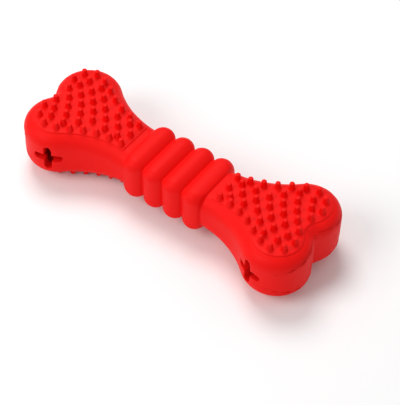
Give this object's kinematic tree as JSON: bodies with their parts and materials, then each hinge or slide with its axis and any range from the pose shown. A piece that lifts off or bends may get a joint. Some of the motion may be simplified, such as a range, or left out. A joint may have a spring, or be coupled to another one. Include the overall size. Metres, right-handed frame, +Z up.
{
  "type": "rubber chew toy",
  "caption": "Bone-shaped hollow rubber dog chew with nubbed pads on both faces, a flexible ribbed waist and cross-shaped treat slots in its lobes.",
  "frame": {"origin": "on the floor under the middle of the bone, at the level of the nub tips it lies on", "axes": "+X along the bone, +Y across it, +Z up from the floor"},
  "size_m": [0.18, 0.064, 0.0394],
  "materials": {
    "red_rubber": "satin moulded rubber"
  },
  "bodies": {
    "left_end": {"left_upper_shell": "red_rubber", "left_upper_pad": "red_rubber", "left_lower_shell": "red_rubber", "left_lower_pad": "red_rubber"},
    "right_end": {"right_upper_shell": "red_rubber", "right_upper_pad": "red_rubber", "right_lower_shell": "red_rubber", "right_lower_pad": "red_rubber"},
    "rib_1": {"rib_1": "red_rubber"},
    "rib_2": {"rib_2": "red_rubber"},
    "rib_3": {"rib_3": "red_rubber"},
    "rib_4": {"rib_4": "red_rubber"},
    "left_neck_web": {"left_neck_web": "red_rubber"},
    "groove_web_1": {"groove_web_1": "red_rubber"},
    "groove_web_2": {"groove_web_2": "red_rubber"},
    "groove_web_3": {"groove_web_3": "red_rubber"},
    "right_neck_web": {"right_neck_web": "red_rubber"},
    "left_front_upper_waist_lip": {"left_front_upper_waist_lip": "red_rubber"},
    "left_front_upper_tip_lip": {"left_front_upper_tip_lip": "red_rubber"},
    "left_front_lower_waist_lip": {"left_front_lower_waist_lip": "red_rubber"},
    "left_front_lower_tip_lip": {"left_front_lower_tip_lip": "red_rubber"},
    "left_back_upper_waist_lip": {"left_back_upper_waist_lip": "red_rubber"},
    "left_back_upper_tip_lip": {"left_back_upper_tip_lip": "red_rubber"},
    "left_back_lower_waist_lip": {"left_back_lower_waist_lip": "red_rubber"},
    "left_back_lower_tip_lip": {"left_back_lower_tip_lip": "red_rubber"},
    "right_front_upper_waist_lip": {"right_front_upper_waist_lip": "red_rubber"},
    "right_front_upper_tip_lip": {"right_front_upper_tip_lip": "red_rubber"},
    "right_front_lower_waist_lip": {"right_front_lower_waist_lip": "red_rubber"},
    "right_front_lower_tip_lip": {"right_front_lower_tip_lip": "red_rubber"},
    "right_back_upper_waist_lip": {"right_back_upper_waist_lip": "red_rubber"},
    "right_back_upper_tip_lip": {"right_back_upper_tip_lip": "red_rubber"},
    "right_back_lower_waist_lip": {"right_back_lower_waist_lip": "red_rubber"},
    "right_back_lower_tip_lip": {"right_back_lower_tip_lip": "red_rubber"}
  },
  "joints": [
    {"name": "left_neck_bend", "type": "hinge", "parent": "left_end", "child": "left_neck_web", "pos_m": [-0.02554, 0, 0.01971], "axis": [0, -1, 0], "range_deg": [-4.5, 4.5], "stiffness_Nm_per_rad": 6, "deforming": ["left_neck_web"]},
    {"name": "left_neck_sway", "type": "hinge", "parent": "left_neck_web", "child": "rib_1", "pos_m": [-0.02554, 0, 0.01971], "axis": [0, 0, 1], "range_deg": [-4.5, 4.5], "stiffness_Nm_per_rad": 6, "deforming": ["left_neck_web"]},
    {"name": "groove_1_bend", "type": "hinge", "parent": "rib_1", "child": "groove_web_1", "pos_m": [-0.01277, 0, 0.01971], "axis": [0, -1, 0], "range_deg": [-4.5, 4.5], "stiffness_Nm_per_rad": 6, "deforming": ["groove_web_1"]},
    {"name": "groove_1_sway", "type": "hinge", "parent": "groove_web_1", "child": "rib_2", "pos_m": [-0.01277, 0, 0.01971], "axis": [0, 0, 1], "range_deg": [-4.5, 4.5], "stiffness_Nm_per_rad": 6, "deforming": ["groove_web_1"]},
    {"name": "groove_2_bend", "type": "hinge", "parent": "rib_2", "child": "groove_web_2", "pos_m": [0, 0, 0.01971], "axis": [0, -1, 0], "range_deg": [-4.5, 4.5], "stiffness_Nm_per_rad": 6, "deforming": ["groove_web_2"]},
    {"name": "groove_2_sway", "type": "hinge", "parent": "groove_web_2", "child": "rib_3", "pos_m": [0, 0, 0.01971], "axis": [0, 0, 1], "range_deg": [-4.5, 4.5], "stiffness_Nm_per_rad": 6, "deforming": ["groove_web_2"]},
    {"name": "groove_3_bend", "type": "hinge", "parent": "rib_3", "child": "groove_web_3", "pos_m": [0.01277, 0, 0.01971], "axis": [0, -1, 0], "range_deg": [-4.5, 4.5], "stiffness_Nm_per_rad": 6, "deforming": ["groove_web_3"]},
    {"name": "groove_3_sway", "type": "hinge", "parent": "groove_web_3", "child": "rib_4", "pos_m": [0.01277, 0, 0.01971], "axis": [0, 0, 1], "range_deg": [-4.5, 4.5], "stiffness_Nm_per_rad": 6, "deforming": ["groove_web_3"]},
    {"name": "right_neck_bend", "type": "hinge", "parent": "rib_4", "child": "right_neck_web", "pos_m": [0.02554, 0, 0.01971], "axis": [0, -1, 0], "range_deg": [-4.5, 4.5], "stiffness_Nm_per_rad": 6, "deforming": ["right_neck_web"]},
    {"name": "right_neck_sway", "type": "hinge", "parent": "right_neck_web", "child": "right_end", "pos_m": [0.02554, 0, 0.01971], "axis": [0, 0, 1], "range_deg": [-4.5, 4.5], "stiffness_Nm_per_rad": 6, "deforming": ["right_neck_web"]},
    {"name": "left_front_upper_waist_lip_flex", "type": "hinge", "parent": "left_end", "child": "left_front_upper_waist_lip", "pos_m": [-0.06212, -0.02724, 0.02371], "axis": [0.6665, 0.236, -0.7071], "range_deg": [-25, 25], "stiffness_Nm_per_rad": 0.06, "deforming": ["left_front_upper_waist_lip"]},
    {"name": "left_front_upper_tip_lip_flex", "type": "hinge", "parent": "left_end", "child": "left_front_upper_tip_lip", "pos_m": [-0.06966, -0.02991, 0.02371], "axis": [0.6665, 0.236, 0.7071], "range_deg": [-25, 25], "stiffness_Nm_per_rad": 0.06, "deforming": ["left_front_upper_tip_lip"]},
    {"name": "left_front_lower_waist_lip_flex", "type": "hinge", "parent": "left_end", "child": "left_front_lower_waist_lip", "pos_m": [-0.06212, -0.02724, 0.01571], "axis": [-0.6665, -0.236, -0.7071], "range_deg": [-25, 25], "stiffness_Nm_per_rad": 0.06, "deforming": ["left_front_lower_waist_lip"]},
    {"name": "left_front_lower_tip_lip_flex", "type": "hinge", "parent": "left_end", "child": "left_front_lower_tip_lip", "pos_m": [-0.06966, -0.02991, 0.01571], "axis": [-0.6665, -0.236, 0.7071], "range_deg": [-25, 25], "stiffness_Nm_per_rad": 0.06, "deforming": ["left_front_lower_tip_lip"]},
    {"name": "left_back_upper_waist_lip_flex", "type": "hinge", "parent": "left_end", "child": "left_back_upper_waist_lip", "pos_m": [-0.06212, 0.02724, 0.02371], "axis": [-0.6665, 0.236, 0.7071], "range_deg": [-25, 25], "stiffness_Nm_per_rad": 0.06, "deforming": ["left_back_upper_waist_lip"]},
    {"name": "left_back_upper_tip_lip_flex", "type": "hinge", "parent": "left_end", "child": "left_back_upper_tip_lip", "pos_m": [-0.06966, 0.02991, 0.02371], "axis": [-0.6665, 0.236, -0.7071], "range_deg": [-25, 25], "stiffness_Nm_per_rad": 0.06, "deforming": ["left_back_upper_tip_lip"]},
    {"name": "left_back_lower_waist_lip_flex", "type": "hinge", "parent": "left_end", "child": "left_back_lower_waist_lip", "pos_m": [-0.06212, 0.02724, 0.01571], "axis": [0.6665, -0.236, 0.7071], "range_deg": [-25, 25], "stiffness_Nm_per_rad": 0.06, "deforming": ["left_back_lower_waist_lip"]},
    {"name": "left_back_lower_tip_lip_flex", "type": "hinge", "parent": "left_end", "child": "left_back_lower_tip_lip", "pos_m": [-0.06966, 0.02991, 0.01571], "axis": [0.6665, -0.236, -0.7071], "range_deg": [-25, 25], "stiffness_Nm_per_rad": 0.06, "deforming": ["left_back_lower_tip_lip"]},
    {"name": "right_front_upper_waist_lip_flex", "type": "hinge", "parent": "right_end", "child": "right_front_upper_waist_lip", "pos_m": [0.06212, -0.02724, 0.02371], "axis": [0.6665, -0.236, 0.7071], "range_deg": [-25, 25], "stiffness_Nm_per_rad": 0.06, "deforming": ["right_front_upper_waist_lip"]},
    {"name": "right_front_upper_tip_lip_flex", "type": "hinge", "parent": "right_end", "child": "right_front_upper_tip_lip", "pos_m": [0.06966, -0.02991, 0.02371], "axis": [0.6665, -0.236, -0.7071], "range_deg": [-25, 25], "stiffness_Nm_per_rad": 0.06, "deforming": ["right_front_upper_tip_lip"]},
    {"name": "right_front_lower_waist_lip_flex", "type": "hinge", "parent": "right_end", "child": "right_front_lower_waist_lip", "pos_m": [0.06212, -0.02724, 0.01571], "axis": [-0.6665, 0.236, 0.7071], "range_deg": [-25, 25], "stiffness_Nm_per_rad": 0.06, "deforming": ["right_front_lower_waist_lip"]},
    {"name": "right_front_lower_tip_lip_flex", "type": "hinge", "parent": "right_end", "child": "right_front_lower_tip_lip", "pos_m": [0.06966, -0.02991, 0.01571], "axis": [-0.6665, 0.236, -0.7071], "range_deg": [-25, 25], "stiffness_Nm_per_rad": 0.06, "deforming": ["right_front_lower_tip_lip"]},
    {"name": "right_back_upper_waist_lip_flex", "type": "hinge", "parent": "right_end", "child": "right_back_upper_waist_lip", "pos_m": [0.06212, 0.02724, 0.02371], "axis": [-0.6665, -0.236, -0.7071], "range_deg": [-25, 25], "stiffness_Nm_per_rad": 0.06, "deforming": ["right_back_upper_waist_lip"]},
    {"name": "right_back_upper_tip_lip_flex", "type": "hinge", "parent": "right_end", "child": "right_back_upper_tip_lip", "pos_m": [0.06966, 0.02991, 0.02371], "axis": [-0.6665, -0.236, 0.7071], "range_deg": [-25, 25], "stiffness_Nm_per_rad": 0.06, "deforming": ["right_back_upper_tip_lip"]},
    {"name": "right_back_lower_waist_lip_flex", "type": "hinge", "parent": "right_end", "child": "right_back_lower_waist_lip", "pos_m": [0.06212, 0.02724, 0.01571], "axis": [0.6665, 0.236, -0.7071], "range_deg": [-25, 25], "stiffness_Nm_per_rad": 0.06, "deforming": ["right_back_lower_waist_lip"]},
    {"name": "right_back_lower_tip_lip_flex", "type": "hinge", "parent": "right_end", "child": "right_back_lower_tip_lip", "pos_m": [0.06966, 0.02991, 0.01571], "axis": [0.6665, 0.236, 0.7071], "range_deg": [-25, 25], "stiffness_Nm_per_rad": 0.06, "deforming": ["right_back_lower_tip_lip"]}
  ],
  "couplings": [
    {"joint": "groove_1_bend", "follows": "left_neck_bend", "ratio": 1},
    {"joint": "groove_1_sway", "follows": "left_neck_sway", "ratio": 1},
    {"joint": "groove_2_bend", "follows": "left_neck_bend", "ratio": 1},
    {"joint": "groove_2_sway", "follows": "left_neck_sway", "ratio": 1},
    {"joint": "groove_3_bend", "follows": "left_neck_bend", "ratio": 1},
    {"joint": "groove_3_sway", "follows": "left_neck_sway", "ratio": 1},
    {"joint": "right_neck_bend", "follows": "left_neck_bend", "ratio": 1},
    {"joint": "right_neck_sway", "follows": "left_neck_sway", "ratio": 1},
    {"joint": "left_front_upper_tip_lip_flex", "follows": "left_front_upper_waist_lip_flex", "ratio": 1},
    {"joint": "left_front_lower_waist_lip_flex", "follows": "left_front_upper_waist_lip_flex", "ratio": 1},
    {"joint": "left_front_lower_tip_lip_flex", "follows": "left_front_upper_waist_lip_flex", "ratio": 1},
    {"joint": "left_back_upper_tip_lip_flex", "follows": "left_back_upper_waist_lip_flex", "ratio": 1},
    {"joint": "left_back_lower_waist_lip_flex", "follows": "left_back_upper_waist_lip_flex", "ratio": 1},
    {"joint": "left_back_lower_tip_lip_flex", "follows": "left_back_upper_waist_lip_flex", "ratio": 1},
    {"joint": "right_front_upper_tip_lip_flex", "follows": "right_front_upper_waist_lip_flex", "ratio": 1},
    {"joint": "right_front_lower_waist_lip_flex", "follows": "right_front_upper_waist_lip_flex", "ratio": 1},
    {"joint": "right_front_lower_tip_lip_flex", "follows": "right_front_upper_waist_lip_flex", "ratio": 1},
    {"joint": "right_back_upper_tip_lip_flex", "follows": "right_back_upper_waist_lip_flex", "ratio": 1},
    {"joint": "right_back_lower_waist_lip_flex", "follows": "right_back_upper_waist_lip_flex", "ratio": 1},
    {"joint": "right_back_lower_tip_lip_flex", "follows": "right_back_upper_waist_lip_flex", "ratio": 1}
  ]
}
